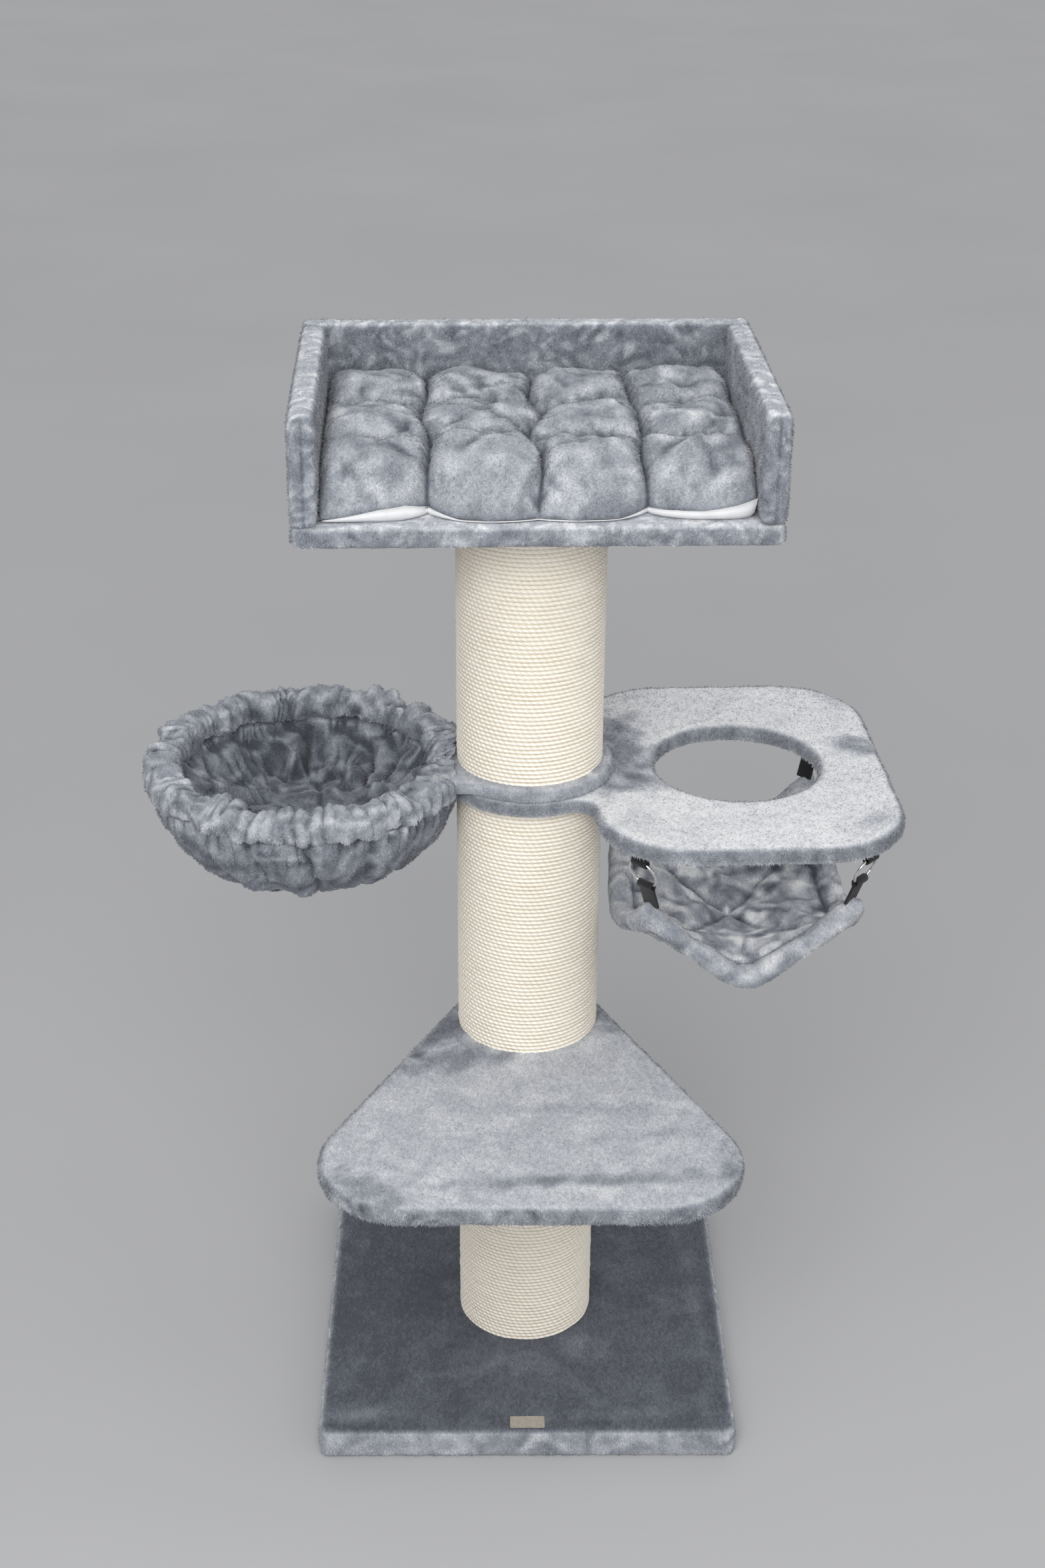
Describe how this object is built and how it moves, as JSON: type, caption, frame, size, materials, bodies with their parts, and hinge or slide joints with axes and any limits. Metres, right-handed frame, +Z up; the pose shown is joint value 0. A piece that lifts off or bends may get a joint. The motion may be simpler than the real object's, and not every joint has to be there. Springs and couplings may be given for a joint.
{
  "type": "cat tree",
  "caption": "Cat tree on one thick sisal-wound post: square base, triangular platform, holed board with a swinging hammock, gathered basket and a walled bed with a loose quilted cushion.",
  "frame": {"origin": "middle of the base's underside, on the axis of the posts", "axes": "+Z up along the posts, -Y to the front (the platform's side), +X to the right (the hammock's side)"},
  "size_m": [1.0124, 0.76, 1.531],
  "materials": {
    "plush": "short brushed grey plush with a silvery nap",
    "lining": "smooth white lining cloth",
    "wood_board": "raw chipboard or plywood",
    "cardboard": "spiral-wound cardboard",
    "sisal": "twisted natural sisal rope",
    "webbing": "black woven webbing",
    "nickel": "bright nickel plate",
    "steel": "zinc-plated steel"
  },
  "bodies": {
    "tree": {"arm_stud": "steel", "base_board": "wood_board", "base_bolt": "steel", "base_plush": "plush", "base_washer": "steel", "basket_arm_board": "wood_board", "basket_arm_plush": "plush", "basket_sack": "plush", "bed_back_board": "wood_board", "bed_back_plush": "plush", "bed_bolt": "steel", "bed_floor_board": "wood_board", "bed_floor_plush": "plush", "bed_left_board": "wood_board", "bed_left_plush": "plush", "bed_right_board": "wood_board", "bed_right_plush": "plush", "bed_screws": "steel", "blank_plate": "nickel", "hanger_back_left": "webbing", "hanger_back_right": "webbing", "hanger_front_left": "webbing", "hanger_front_right": "webbing", "hanger_screws": "steel", "holed_board": "wood_board", "holed_board_plush": "plush", "insert_nuts": "steel", "lower_post_lower_plug": "wood_board", "lower_post_sisal": "sisal", "lower_post_tube": "cardboard", "lower_post_upper_plug": "wood_board", "middle_post_lower_plug": "wood_board", "middle_post_sisal": "sisal", "middle_post_tube": "cardboard", "middle_post_upper_plug": "wood_board", "platform_board": "wood_board", "platform_plush": "plush", "platform_stud": "steel", "upper_post_lower_plug": "wood_board", "upper_post_sisal": "sisal", "upper_post_tube": "cardboard", "upper_post_upper_plug": "wood_board"},
    "ring_front_left": {"ring_front_left": "nickel"},
    "ring_front_right": {"ring_front_right": "nickel"},
    "ring_back_left": {"ring_back_left": "nickel"},
    "ring_back_right": {"ring_back_right": "nickel"},
    "hammock": {"hammock_cloth": "plush", "strap_front_left": "webbing", "strap_front_right": "webbing", "strap_back_left": "webbing", "strap_back_right": "webbing"},
    "cushion": {"cushion_pad": "plush", "cushion_lining": "lining"}
  },
  "joints": [
    {"name": "hammock_swing", "type": "hinge", "parent": "tree", "child": "ring_front_left", "pos_m": [0.14197, -0.19923, 0.923], "axis": [0.9991, 0.0419, 0], "range_deg": [-14, 14]},
    {"name": "ring_front_right_swing", "type": "hinge", "parent": "tree", "child": "ring_front_right", "pos_m": [0.4457, -0.1865, 0.923], "axis": [0.9991, 0.0419, 0], "range_deg": [-14, 14]},
    {"name": "ring_back_left_swing", "type": "hinge", "parent": "tree", "child": "ring_back_left", "pos_m": [0.1248, 0.21041, 0.923], "axis": [0.9991, 0.0419, 0], "range_deg": [-14, 14]},
    {"name": "ring_back_right_swing", "type": "hinge", "parent": "tree", "child": "ring_back_right", "pos_m": [0.42853, 0.22314, 0.923], "axis": [0.9991, 0.0419, 0], "range_deg": [-14, 14]},
    {"name": "hammock_level", "type": "hinge", "parent": "ring_front_left", "child": "hammock", "pos_m": [0.15169, -0.18866, 0.88353], "axis": [0.9991, 0.0419, 0], "range_deg": [-15, 15]},
    {"name": "cushion_lift", "type": "slide", "parent": "tree", "child": "cushion", "axis": [0, 0, 1], "range_m": [0, 0.2]}
  ],
  "couplings": [
    {"joint": "ring_front_right_swing", "follows": "hammock_swing", "ratio": 1},
    {"joint": "ring_back_left_swing", "follows": "hammock_swing", "ratio": 1},
    {"joint": "ring_back_right_swing", "follows": "hammock_swing", "ratio": 1},
    {"joint": "hammock_level", "follows": "hammock_swing", "ratio": -1.0521}
  ]
}
